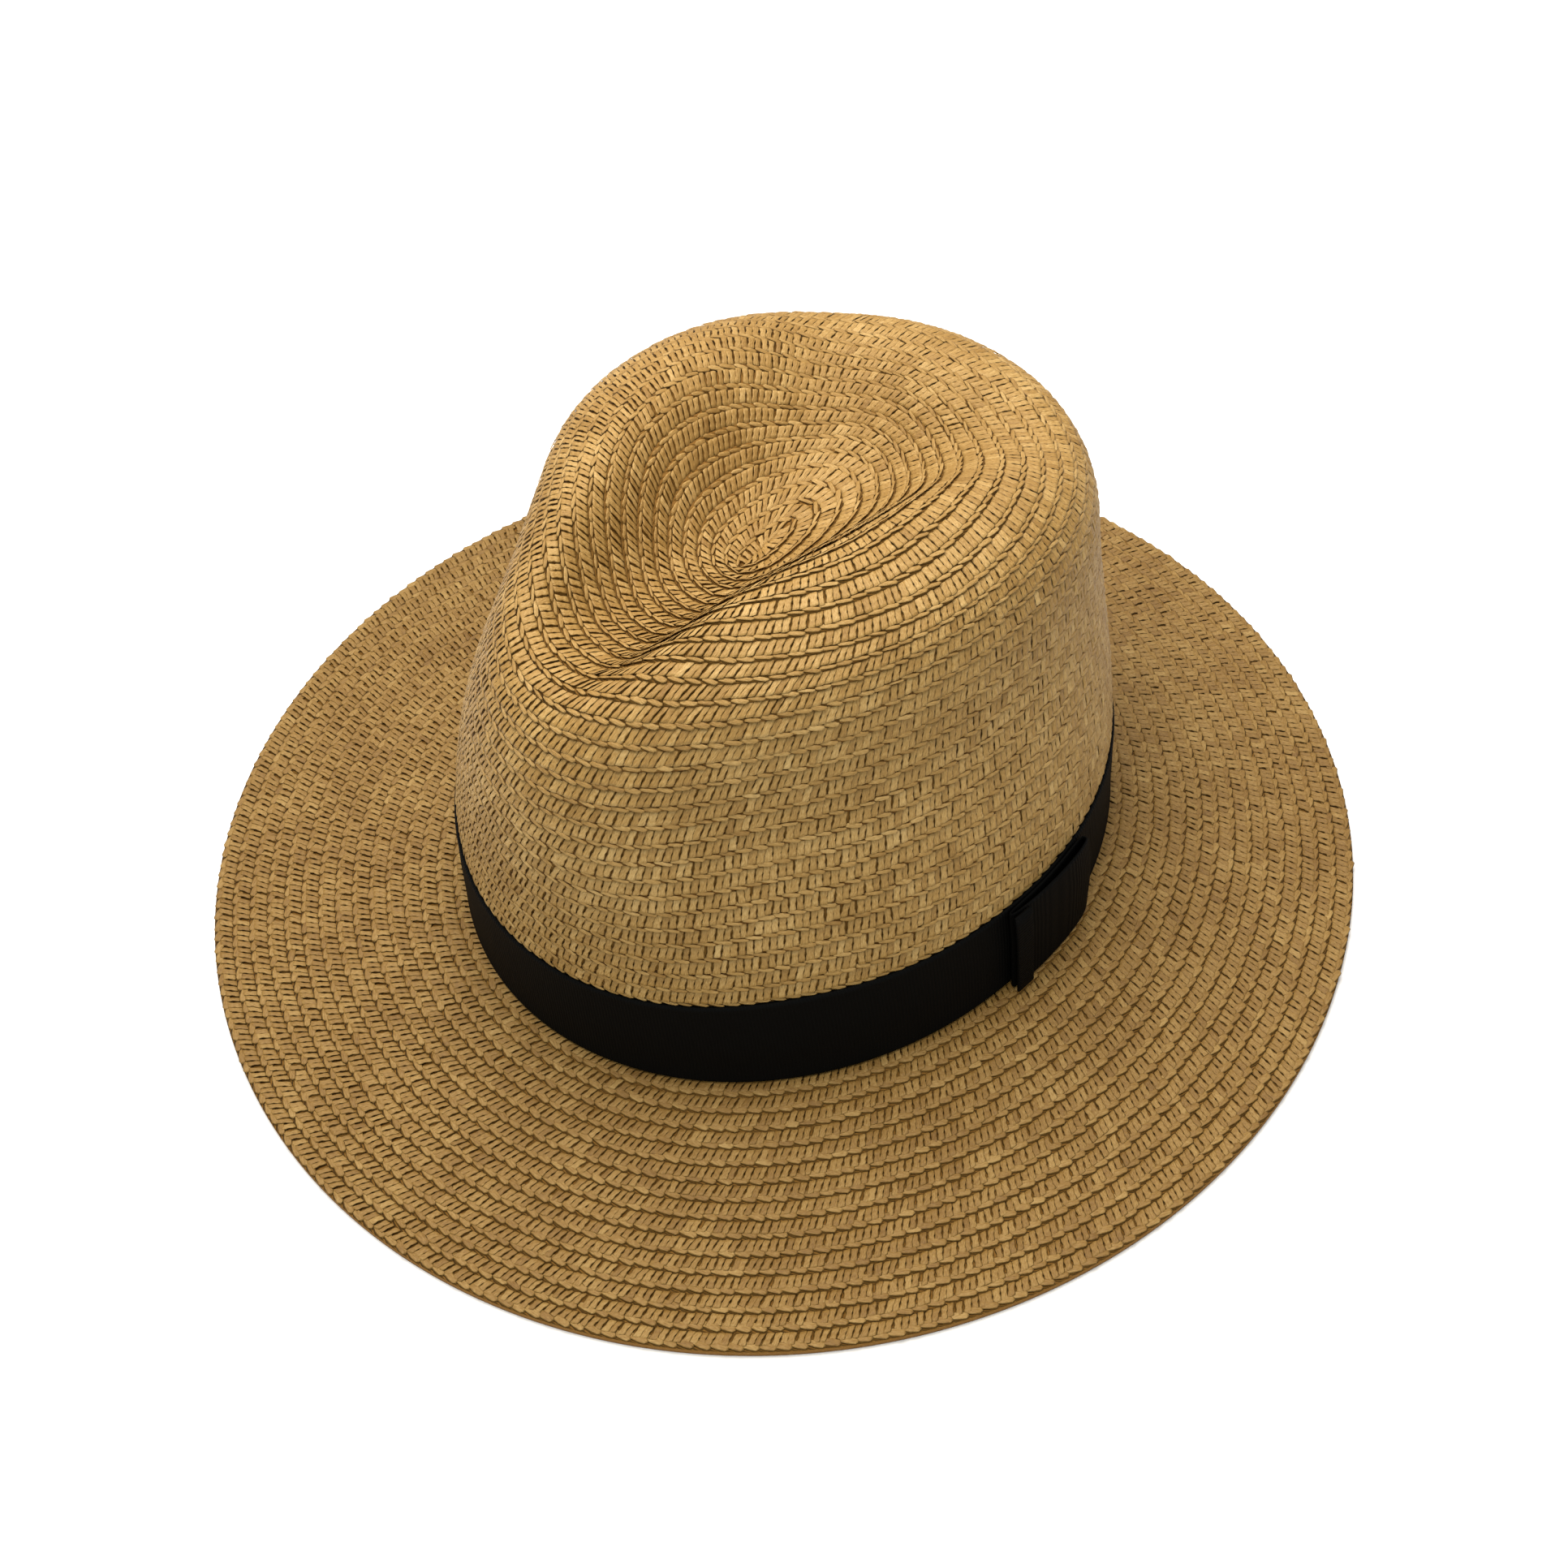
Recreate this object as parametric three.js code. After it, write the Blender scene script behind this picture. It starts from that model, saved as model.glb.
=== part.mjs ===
// A straw hat with a creased crown, a wide brim and a flat-bowed ribbon.
// Millimetres, +Z up, standing on z = 0; the front faces -Y and +X is the wearer's left.
import * as THREE from "three";
import { mergeVertices } from "three/addons/utils/BufferGeometryUtils.js";

// Driving sizes
const STRAW_WALL = 2;
const PIECE_GAP = 0.3;
const CROWN_HALF_LENGTH = 100.4;
const CROWN_HALF_WIDTH = 88;
const CROWN_HEIGHT = 127.4;
const BRIM_HALF_LENGTH = 167.2;
const BRIM_HALF_WIDTH = 163.5;
const BRIM_RISE = 5;
const CROWN_SETBACK = 5;
const RIBBON_HEIGHT = 30;
const RIBBON_THICKNESS = 0.8;
const BOW_LENGTH = 36;
const BOW_DEPTH = 3.6;
const KEEPER_WIDTH = 6;

// Shape of the crown: one row a section, from the tip (0) down to the brim (1).
// Reach forwards, backwards and sideways and height, as shares of the crown's sizes.
const CROWN_SECTIONS = [
  { at: 0, front: 0.06, back: 0.06, side: 0, rise: 0.985 },
  { at: 0.18, front: 0.184, back: 0.362, side: 0.198, rise: 0.99 },
  { at: 0.32, front: 0.395, back: 0.575, side: 0.428, rise: 0.985 },
  { at: 0.44, front: 0.58, back: 0.741, side: 0.679, rise: 0.924 },
  { at: 0.56, front: 0.783, back: 0.93, side: 0.787, rise: 0.824 },
  { at: 0.7, front: 0.923, back: 0.961, side: 0.854, rise: 0.606 },
  { at: 0.85, front: 0.981, back: 0.966, side: 0.974, rise: 0.298 },
  { at: 1, front: 1, back: 1, side: 1, rise: 0 },
];

// Dents pressed into the crown: middle, push and reach as shares of the crown's half
// width (across), half length (along) and height (up); power is how square the dent
// is, taper how much it widens backwards, turned its angle in degrees.
const CROWN_DENTS = [
  {
    name: "crease", taper: 0.392, turned: 4.46,
    middle: { across: -0.058, along: 0.018, up: 1 },
    push: { across: 0, along: 0, up: -0.216 },
    reach: { across: 0.326, along: 0.645, up: 0.55 },
    power: { across: 3.2, along: 4.69, up: 4 },
  },
  {
    name: "left_pinch", taper: 0, turned: 0,
    middle: { across: 0.655, along: -0.685, up: 0.594 },
    push: { across: -0.034, along: 0.013, up: 0 },
    reach: { across: 0.402, along: 0.213, up: 0.324 },
    power: { across: 2, along: 2, up: 2 },
  },
  {
    name: "right_pinch", taper: 0, turned: 0,
    middle: { across: -0.55, along: -0.293, up: 0.801 },
    push: { across: 0.077, along: 0.042, up: 0 },
    reach: { across: 0.341, along: 0.358, up: 0.188 },
    power: { across: 2, along: 2, up: 2 },
  },
];
const CREASE_PIVOT_ALONG = 0.15;
const TAPER_END = 1.5;
// The top is wider at the back than at the front, and leans a little to the right
const EGG_SHARE = 0.247;
const LEAN = -4.1;

// The brim falls away from the crown and lies flat over its outer part
const BRIM_FLAT_FROM = 0.88;
const BRIM_CURVE = 1.6;

// Where the bow sits, in degrees from the front towards the wearer's left
const BOW_MIDDLE = 91.5;
const BOW_END_BULGE = 0.12;
const BOW_FRONT_DEPTH_SHARE = 0.7;
const BOW_SQUARENESS = 0.55;

// How finely the surfaces are divided
const TURNS = 72;
const CROWN_STEPS = 26;
const BRIM_STEPS = 6;
const RIBBON_STEPS = 2;
const BOW_TURNS = 32;
const BOW_STEPS = 4;
const KEEPER_STEPS = 4;
const SLOPE_STEP = 1e-3;
const WELD = 1e-4;
const HALVINGS = 40;

const BREAK_HEIGHT = STRAW_WALL + BRIM_RISE + PIECE_GAP;
const RADIANS = Math.PI / 180;

// Smooth curve through the table's rows, one column at a time
function tableValue(rows, column, at) {
  let below = 0;
  while (below < rows.length - 2 && at >= rows[below + 1].at) below += 1;
  const slope = (row) => {
    const from = rows[Math.max(row - 1, 0)];
    const to = rows[Math.min(row + 1, rows.length - 1)];
    return (to[column] - from[column]) / (to.at - from.at);
  };
  const low = rows[below];
  const high = rows[below + 1];
  const span = high.at - low.at;
  const s = (at - low.at) / span;
  const lift = s * s * (3 - 2 * s);
  const leave = s * (1 - s) * (1 - s) * span * slope(below);
  const arrive = s * s * (s - 1) * span * slope(below + 1);
  return low[column] + (high[column] - low[column]) * lift + leave + arrive;
}

function dentDepth(dent, across, along, up) {
  const angle = dent.turned * RADIANS;
  const acrossMm = across * CROWN_HALF_WIDTH;
  const alongMm = (along - CREASE_PIVOT_ALONG) * CROWN_HALF_LENGTH;
  const turnedAcross = (acrossMm * Math.cos(angle) - alongMm * Math.sin(angle)) / CROWN_HALF_WIDTH;
  const turnedAlong = (acrossMm * Math.sin(angle) + alongMm * Math.cos(angle)) / CROWN_HALF_LENGTH;
  const fromMiddle = (turnedAlong + CREASE_PIVOT_ALONG - dent.middle.along) / dent.reach.along;
  const widening = 1 + dent.taper * THREE.MathUtils.clamp(fromMiddle, -TAPER_END, TAPER_END);
  const sideways = (turnedAcross - dent.middle.across) / (dent.reach.across * widening);
  const upwards = (up - dent.middle.up) / dent.reach.up;
  return Math.exp(
    -(Math.abs(sideways) ** dent.power.across)
    - (Math.abs(fromMiddle) ** dent.power.along)
    - (Math.abs(upwards) ** dent.power.up),
  );
}

// Outer surface of the crown: at = 0 tip to 1 brim, turn = angle from the front
function crownPoint(at, turn) {
  const ahead = Math.cos(turn);
  const reach = tableValue(CROWN_SECTIONS, ahead > 0 ? "front" : "back", at);
  const up = tableValue(CROWN_SECTIONS, "rise", at);
  const high = THREE.MathUtils.clamp(up, 0, 1);
  const top = high * high * (3 - 2 * high);
  const along = -reach * ahead;
  const egg = 1 + EGG_SHARE * top * along;
  const across = tableValue(CROWN_SECTIONS, "side", at) * Math.sin(turn) * egg
    + (LEAN * top) / CROWN_HALF_WIDTH;
  const moved = { across, along, up };
  for (const dent of CROWN_DENTS) {
    const depth = dentDepth(dent, across, along, up);
    for (const way of ["across", "along", "up"]) moved[way] += depth * dent.push[way];
  }
  return new THREE.Vector3(
    moved.across * CROWN_HALF_WIDTH,
    CROWN_SETBACK + moved.along * CROWN_HALF_LENGTH,
    BREAK_HEIGHT + moved.up * CROWN_HEIGHT,
  );
}

// The same surface moved outwards (or inwards, when negative) by a distance
function crownOffset(at, turn, distance) {
  const point = crownPoint(at, turn);
  if (at === 0) return point.add(new THREE.Vector3(0, 0, distance));
  const down = crownPoint(Math.min(at + SLOPE_STEP, 1), turn)
    .sub(crownPoint(at - SLOPE_STEP, turn));
  const around = crownPoint(at, turn + SLOPE_STEP).sub(crownPoint(at, turn - SLOPE_STEP));
  const outwards = down.cross(around).normalize();
  if (at === 1) outwards.setZ(0).normalize();
  return point.addScaledVector(outwards, distance);
}

// Crown share of the way down at which the surface is a given height above the brim
function shareAtHeight(height) {
  let above = 0.5;
  let below = 1;
  for (let halving = 0; halving < HALVINGS; halving += 1) {
    const middle = (above + below) / 2;
    if (tableValue(CROWN_SECTIONS, "rise", middle) * CROWN_HEIGHT > height) above = middle;
    else below = middle;
  }
  return (above + below) / 2;
}

// Brim between the crown's oval (0) and its own outer oval (1), on a given side of it
function brimPoint(share, turn, lift) {
  const across = Math.sin(turn);
  const along = -Math.cos(turn);
  const inner = new THREE.Vector3(
    CROWN_HALF_WIDTH * across, CROWN_SETBACK + CROWN_HALF_LENGTH * along, 0);
  const outer = new THREE.Vector3(BRIM_HALF_WIDTH * across, BRIM_HALF_LENGTH * along, 0);
  const point = inner.lerp(outer, share);
  const fall = Math.max(0, 1 - Math.max(share, 0) / BRIM_FLAT_FROM);
  point.z = BRIM_RISE * fall ** BRIM_CURVE + lift;
  return point;
}

function ringOf(count, pointAt) {
  return Array.from({ length: count }, (_, index) => pointAt((2 * Math.PI * index) / count));
}

// A body skinned over rings of equal count; closed joins the last ring to the first
function skinned(name, rings, closed, material) {
  const count = rings[0].length;
  const positions = rings.flat().flatMap((point) => [point.x, point.y, point.z]);
  const faces = [];
  const last = closed ? rings.length : rings.length - 1;
  for (let ring = 0; ring < last; ring += 1) {
    const here = ring * count;
    const next = ((ring + 1) % rings.length) * count;
    for (let index = 0; index < count; index += 1) {
      const after = (index + 1) % count;
      faces.push(here + index, next + index, next + after);
      faces.push(here + index, next + after, here + after);
    }
  }
  const geometry = new THREE.BufferGeometry();
  geometry.setAttribute("position", new THREE.Float32BufferAttribute(positions, 3));
  geometry.setIndex(faces);
  const welded = mergeVertices(geometry, WELD);
  welded.computeVertexNormals();
  const mesh = new THREE.Mesh(welded, material);
  mesh.name = name;
  return mesh;
}

function plain(colour, roughness) {
  return new THREE.MeshStandardMaterial({ color: colour, roughness, metalness: 0 });
}

function makeCrown() {
  const steps = Array.from({ length: CROWN_STEPS + 1 }, (_, step) => step / CROWN_STEPS);
  const outside = steps.map((at) => ringOf(TURNS, (turn) => crownPoint(at, turn)));
  const inside = steps.map((at) => ringOf(TURNS, (turn) => crownOffset(at, turn, -STRAW_WALL)));
  return skinned("crown", [...outside, ...inside.reverse()], false, plain("#a07e4b", 0.85));
}

function makeBrim() {
  const innerEdge = -STRAW_WALL / (BRIM_HALF_WIDTH - CROWN_HALF_WIDTH);
  const shares = [innerEdge];
  for (let step = 0; step <= BRIM_STEPS; step += 1) shares.push(step / BRIM_STEPS);
  const top = shares.map((share) => ringOf(TURNS, (turn) => brimPoint(share, turn, STRAW_WALL)));
  const under = shares.map((share) => ringOf(TURNS, (turn) => brimPoint(share, turn, 0)));
  return skinned("brim", [...top, ...under.reverse()], true, plain("#957340", 0.85));
}

function makeRibbonBand() {
  const upper = shareAtHeight(RIBBON_HEIGHT);
  const shares = [];
  for (let step = 0; step <= RIBBON_STEPS; step += 1) {
    shares.push(upper + ((1 - upper) * step) / RIBBON_STEPS);
  }
  const ringAt = (share, distance) => ringOf(TURNS, (turn) => crownOffset(share, turn, distance));
  const outer = shares.map((share) => ringAt(share, PIECE_GAP + RIBBON_THICKNESS));
  const inner = shares.map((share) => ringAt(share, PIECE_GAP));
  return skinned("ribbon_band", [...outer, ...inner.reverse()], true, plain("#10100e", 0.75));
}

// A point over the ribbon: way along it from the bow's middle, height share, stand-off
function overRibbon(way, heightShare, standOff) {
  const share = shareAtHeight(RIBBON_HEIGHT * heightShare);
  const turn = BOW_MIDDLE * RADIANS + way / CROWN_HALF_LENGTH;
  return crownOffset(Math.min(share, 1), turn, PIECE_GAP * 2 + RIBBON_THICKNESS + standOff);
}

function squared(value) {
  return Math.sign(value) * Math.abs(value) ** BOW_SQUARENESS;
}

// The flat bow: one ribbon loop pressed flat, open above and below
function makeBowLoop() {
  const ringAt = (heightShare, inset) => ringOf(BOW_TURNS, (turn) => {
    const half = BOW_LENGTH / 2 - inset;
    const bulge = 1 - BOW_END_BULGE * (2 * heightShare - 1) ** 2;
    const sideways = squared(Math.cos(turn));
    const way = half * sideways * (sideways > 0 ? bulge : 1);
    const rise = THREE.MathUtils.lerp(BOW_FRONT_DEPTH_SHARE, 1, (sideways + 1) / 2);
    const middle = (BOW_DEPTH * rise) / 2;
    return overRibbon(way, heightShare, middle + (middle - inset) * squared(Math.sin(turn)));
  });
  const heights = Array.from({ length: BOW_STEPS + 1 }, (_, step) => 1 - step / BOW_STEPS);
  const outer = heights.map((share) => ringAt(share, 0));
  const inner = heights.map((share) => ringAt(share, RIBBON_THICKNESS));
  return skinned("bow_loop", [...inner, ...outer.reverse()], true, plain("#0b0b0a", 0.7));
}

// The narrow strap over the front end of the bow; its two side edges are drawn sharp
function makeBowKeeper() {
  const standOff = BOW_DEPTH * BOW_FRONT_DEPTH_SHARE + PIECE_GAP * 2;
  const heights = Array.from({ length: BOW_STEPS + 1 }, (_, step) => step / BOW_STEPS);
  const rings = Array.from({ length: KEEPER_STEPS + 1 }, (_, step) => {
    const way = (KEEPER_WIDTH * step) / KEEPER_STEPS - BOW_LENGTH / 2 - PIECE_GAP;
    const edge = step === 0 || step === KEEPER_STEPS;
    const low = edge ? RIBBON_THICKNESS / 2 : 0;
    const high = edge ? RIBBON_THICKNESS / 2 : RIBBON_THICKNESS;
    const front = heights.map((share) => overRibbon(way, share, standOff + high));
    const back = heights.map((share) => overRibbon(way, share, standOff + low));
    return [...front.reverse(), ...back];
  });
  return skinned("bow_keeper", rings.reverse(), false, plain("#0b0b0a", 0.7));
}

const hat = new THREE.Group();
hat.name = "straw_hat";
hat.add(makeCrown(), makeBrim(), makeRibbonBand(), makeBowLoop(), makeBowKeeper());
export default hat;
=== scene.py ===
"""Straw hat with a creased crown, a wide brim, a ribbon and a flat bow. Lengths in metres.

The hat stands on z = 0, its front towards -Y and the wearer's left towards +X.
"""
import math
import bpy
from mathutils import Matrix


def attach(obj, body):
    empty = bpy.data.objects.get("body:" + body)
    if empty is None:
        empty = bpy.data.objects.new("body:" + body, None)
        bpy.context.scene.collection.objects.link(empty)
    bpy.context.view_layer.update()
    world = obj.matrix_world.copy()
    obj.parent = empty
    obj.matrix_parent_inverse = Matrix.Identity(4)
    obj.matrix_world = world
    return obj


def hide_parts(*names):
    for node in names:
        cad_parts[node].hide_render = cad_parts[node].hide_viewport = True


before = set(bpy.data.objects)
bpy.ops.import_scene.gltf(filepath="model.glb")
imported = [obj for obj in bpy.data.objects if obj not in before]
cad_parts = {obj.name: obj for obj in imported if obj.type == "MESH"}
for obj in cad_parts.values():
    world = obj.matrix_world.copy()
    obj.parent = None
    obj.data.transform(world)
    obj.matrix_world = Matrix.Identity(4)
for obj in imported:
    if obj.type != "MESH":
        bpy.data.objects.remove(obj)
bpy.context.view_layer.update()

from types import SimpleNamespace

import bmesh
import bpy
import numpy as np
from bpy.props import FloatProperty, FloatVectorProperty, PointerProperty
from mathutils import Matrix, Vector

bl_info = {
    "name": "Straw hat",
    "version": (1, 0, 0),
    "blender": (4, 5, 0),
    "location": "3D View > Sidebar > Straw hat",
    "description": "Builds a straw hat of sewn braid with a ribbon and a flat bow",
    "category": "Add Mesh",
}

BODY = "root"
MM = 0.001

# Crown sections from the tip (0) to the brim (1): at, front, back, side, rise (shares)
CROWN_SECTIONS = np.array([
    [0.00, 0.060, 0.060, 0.000, 0.985],
    [0.18, 0.184, 0.362, 0.198, 0.990],
    [0.32, 0.395, 0.575, 0.428, 0.985],
    [0.44, 0.580, 0.741, 0.679, 0.924],
    [0.56, 0.783, 0.930, 0.787, 0.824],
    [0.70, 0.923, 0.961, 0.854, 0.606],
    [0.85, 0.981, 0.966, 0.974, 0.298],
    [1.00, 1.000, 1.000, 1.000, 0.000],
])

# Dents in the crown, as (across, along, up) shares of its half width, half length, height
CROWN_DENTS = (
    {"name": "crease", "middle": (-0.058, 0.018, 1), "push": (0, 0, -0.216),
     "reach": (0.326, 0.645, 0.55), "power": (3.2, 4.69, 4), "taper": 0.392, "turned": 4.46},
    {"name": "left pinch", "middle": (0.655, -0.685, 0.594), "push": (-0.034, 0.013, 0),
     "reach": (0.402, 0.213, 0.324), "power": (2, 2, 2), "taper": 0, "turned": 0},
    {"name": "right pinch", "middle": (-0.55, -0.293, 0.801), "push": (0.077, 0.042, 0),
     "reach": (0.341, 0.358, 0.188), "power": (2, 2, 2), "taper": 0, "turned": 0},
)
# Where the crease is turned about, and how far out along it its taper goes on, in reaches
CREASE_PIVOT_ALONG = 0.15
TAPER_END = 1.5
# How much wider the back of the crown is, and the lowest place at which it is read
EGG_SHARE = 0.247
FOOT_SHARE = 0.9995
# The share of the brim at which it lies flat, and the power of its fall up to there
BRIM_FLAT_FROM = 0.88
BRIM_CURVE = 1.6

# The bow: its middle's turn in degrees, and the form of its pressed loop
BOW_MIDDLE = 91.5
BOW_END_BULGE = 0.12
BOW_FRONT_DEPTH_SHARE = 0.7
BOW_SQUARENESS = 0.55

# How finely the pieces are divided
CROWN_TURNS = 240
BRIM_TURNS = 360
RIBBON_TURNS = 480
BOW_TURNS = 120

# Rows of braid in each piece; None stands for the last row
CROWN_BANDS = {"crown_braid_top": (0, 19), "crown_braid_middle": (19, 28),
               "crown_braid_low": (28, None)}
BRIM_BANDS = {"brim_braid_inner": (0, 8), "brim_braid_outer": (8, None)}
CROWN_SEED = 11
BRIM_SEED = 31

# Heights of a row of the wall, at its upper and lower edge: the outside in laps and the
# inside in wall thicknesses
ROW_OUTSIDE = (-0.55, -0.05)
ROW_INSIDE = (-0.72, -0.98)

# Straws by kind: the rings between a straw's two ends, as (place along it, share of its
# width). Cross straws are waisted, so that a slit stays open between two of them.
STRAW_RINGS = {
    "cross": ((-0.86, 0.94), (-0.42, 0.95), (0.05, 0.73), (0.52, 0.94), (0.9, 0.97)),
    "edge": ((-0.72, 0.84), (0.0, 1.0), (0.72, 0.84)),
}
STRAW_ROUND = ((1, 0), (0.66, 1), (-0.66, 1), (-1, 0))
# How finely and how far a straw's fibres are drawn along, across and round it
STRAW_UV = (1.6, 0.5, 0.2)
# Half thickness of a straw, its spread, and how far its ends bend down, in laps
STRAW_THICK = 0.14
THICK_SPREAD = 0.15
STRAW_BEND = 0.12
# Cross straws: how far down the row they lie, their places in a unit of two stitches, and
# pairs of a middle value and a spread: half length in rows, slant and half width in
# stitches, roll and height in laps; and how far their lower ends rise, in laps
CROSS_STRAWS = {
    "share": 0.34, "phases": (0.28, 0.75), "length": (0.39, 0.015), "slant": (0.34, 0.08),
    "width": (0.56, 0.045), "roll": (0.13, 0.08), "height": (0.18, 0.05), "rise": 0.3,
}
# Edge straws by part: how far down the row they lie, and pairs as above: slant and half
# width in rows, half length in stitches and height in laps
EDGE_STRAWS = {
    "crown": {"share": 0.82, "slant": (0.1, 0.025), "width": (0.105, 0.015),
              "length": (1.2, 0.08), "height": (0.42, 0.05)},
    "brim": {"share": 0.72, "slant": (0.16, 0.025), "width": (0.2, 0.015),
             "length": (1.32, 0.08), "height": (0.34, 0.05)},
}
# Their place in a unit, how far their ends and edges rise in laps, and their skew in stitches
EDGE_PHASES = (0.5,)
EDGE_RISE = 0.2
EDGE_ROLL = 0.1
EDGE_SKEW = 0.2
# Each row's stitches shift against the row before, in units; straws stretch with their row
# between two limits, in brim rows
ROW_SHIFT = 0.37
STRETCH_LIMITS = (0.5, 1.5)
# Spreads of the straws' turn in radians, of their row in rows, and of their tone
TURN_SPREAD = 0.0010
ROW_SPREAD = 0.018
TONE_MIDDLE = 0.5
TONE_SPREAD = 0.09

# Soft square lights: name, place, aim, width, power, colour
LIGHTS = (
    ("key", (-0.14, 0.04, 0.74), (0, 0, 0.1), 0.6, 9.1, (1, 0.95, 0.88)),
    ("fill", (0.8, -1.0, 0.6), (0, 0, 0.05), 1.2, 4.7, (0.85, 1, 0.92)),
)
WORLD_STRENGTH = 0.6
FLOOR_HALF = 6.0
FLOOR_COLOUR = (0.92, 0.92, 0.92)

# Camera: a pinhole that looks down at the hat from its front left
CAMERA_PLACE = (0.25760, -0.28334, 0.46101)
CAMERA_AHEAD = (-0.43838, 0.48681, -0.75554)
CAMERA_ROLL = -4.16
CAMERA_LENS = 46.62


def table_curve(rows, at):
    """Smooth curve through a table's rows: cubic Hermite pieces between the rows, with
    each row's slope taken from its two neighbours."""
    known, values = rows[:, 0], rows[:, 1:]
    slopes = np.empty_like(values)
    slopes[1:-1] = (values[2:] - values[:-2]) / (known[2:] - known[:-2])[:, None]
    slopes[0] = (values[1] - values[0]) / (known[1] - known[0])
    slopes[-1] = (values[-1] - values[-2]) / (known[-1] - known[-2])
    low = np.clip(np.searchsorted(known, at, side="right") - 1, 0, len(known) - 2)
    span = known[low + 1] - known[low]
    s = ((at - known[low]) / span)[..., None]
    span = span[..., None]
    return (
        values[low] + (values[low + 1] - values[low]) * s * s * (3 - 2 * s)
        + slopes[low] * span * s * (1 - s) ** 2
        + slopes[low + 1] * span * s * s * (s - 1)
    )


def dent_depth(size, dent, across, along, up):
    """How far a dent is pushed in, 0 to 1: exp(-|a|^p - |b|^q - |c|^r), where a, b and c
    are the distances from its middle across, along and up, in shares of its reach."""
    angle = math.radians(dent["turned"])
    x = across * size.crown_half_width
    y = (along - CREASE_PIVOT_ALONG) * size.crown_half_length
    across = (x * math.cos(angle) - y * math.sin(angle)) / size.crown_half_width
    along = (x * math.sin(angle) + y * math.cos(angle)) / size.crown_half_length
    along = (along + CREASE_PIVOT_ALONG - dent["middle"][1]) / dent["reach"][1]
    widening = 1 + dent["taper"] * np.clip(along, -TAPER_END, TAPER_END)
    across = (across - dent["middle"][0]) / (dent["reach"][0] * widening)
    up = (up - dent["middle"][2]) / dent["reach"][2]
    power = dent["power"]
    return np.exp(
        -np.abs(across) ** power[0] - np.abs(along) ** power[1] - np.abs(up) ** power[2]
    )


def crown_surface(size, at, turn):
    """Outer surface of the crown: an oval of the table's reaches at each height, wider at
    the back by the egg share, leaning to one side, with the dents pushed in."""
    front, back, side, up = np.moveaxis(table_curve(CROWN_SECTIONS, at), -1, 0)
    high = np.clip(up, 0, 1)
    top = high * high * (3 - 2 * high)
    along = -np.where(np.cos(turn) > 0, front, back) * np.cos(turn)
    across = side * np.sin(turn) * (1 + EGG_SHARE * top * along)
    across = across + size.lean * top / size.crown_half_width
    moved = np.stack([across, along, up + 0 * turn], -1)
    for dent in CROWN_DENTS:
        depth = dent_depth(size, dent, across, along, up)
        moved = moved + depth[..., None] * np.array(dent["push"])
    scale = np.array([size.crown_half_width, size.crown_half_length, size.crown_height])
    return moved * scale + np.array([0, size.crown_setback, size.break_height])


def brim_surface(size, share, turn):
    """Top of the brim: a straight line from the crown's oval to the brim's oval, falling
    as (1 - share / flat share) to a power until it lies flat."""
    across, along = np.sin(turn), -np.cos(turn)
    x = (size.crown_half_width * (1 - share) + size.brim_half_width * share) * across
    y = (size.crown_half_length * (1 - share) + size.brim_half_length * share) * along
    y = y + size.crown_setback * (1 - share)
    fall = np.clip(1 - np.clip(share, 0, 1) / BRIM_FLAT_FROM, 0, 1)
    return np.stack([x, y, size.brim_rise * fall ** BRIM_CURVE + size.straw_wall + 0 * x], -1)


def crown_field(size):
    """The crown's surface over (row, turn), where row counts the braid's rows from the
    tip: the mean length down the crown divided by the width of a row. The last row, out
    of sight under the ribbon, takes what is left."""
    at = np.linspace(0, 1, 1201)
    turns = np.linspace(0, 2 * np.pi, 96, endpoint=False)
    points = crown_surface(size, *np.meshgrid(at, turns, indexing="ij"))
    steps = np.linalg.norm(np.diff(points, axis=0), axis=-1).mean(axis=1)
    length = np.concatenate([[0], np.cumsum(steps)])
    row_at = length / size.crown_row_width
    rows = int(row_at[-1])
    last = rows - 1
    row_at = np.where(row_at > last, last + (row_at - last) / (row_at[-1] - last), row_at)
    return lambda row, turn: crown_surface(size, np.interp(row, row_at, at), turn), rows


def brim_field(size):
    """The brim's top over (row, turn), its rows shared out evenly between the ovals."""
    width = (size.brim_half_width + size.brim_half_length
             - size.crown_half_width - size.crown_half_length) / 2
    rows = int(round(width / size.row_width))
    return lambda row, turn: brim_surface(size, row / rows, turn), rows


def field_axes(field, row, turn):
    """Point, vector down one row, unit vector along the row, and outward normal, from
    small differences of the field."""
    down, step = 0.04, 0.002  # rows and radians
    row = np.maximum(row, down)
    across = (field(row + down, turn) - field(row - down, turn)) / (2 * down)
    along = field(row, turn + step) - field(row, turn - step)
    normal = np.cross(across, along)
    normal = normal / np.maximum(np.linalg.norm(normal, axis=-1, keepdims=True), 1e-12)
    along = along / np.maximum(np.linalg.norm(along, axis=-1, keepdims=True), 1e-12)
    return field(row, turn), across, along, normal


def new_piece(name, points, faces, corner_uv, material, nodes, attributes=None):
    """A finished piece: its mesh, UV map, attributes and material, parented to its body, with the
    CAD nodes it stands for hidden.
    """
    mesh = bpy.data.meshes.new(name)
    mesh.from_pydata(np.asarray(points).reshape(-1, 3).tolist(), [], faces.tolist())
    layer = mesh.uv_layers.new(name="UVMap")
    layer.data.foreach_set("uv", np.asarray(corner_uv, np.float32).ravel())
    for key, values in (attributes or {}).items():
        data = mesh.attributes.new(key, "FLOAT", "POINT").data
        data.foreach_set("value", np.asarray(values, np.float32).ravel())
    mesh.polygons.foreach_set("use_smooth", np.ones(len(mesh.polygons), bool))
    mesh.materials.append(material)
    mesh.update()
    piece = bpy.data.objects.new(name, mesh)
    bpy.context.scene.collection.objects.link(piece)
    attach(piece, BODY)
    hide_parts(*nodes)
    return piece


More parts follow.
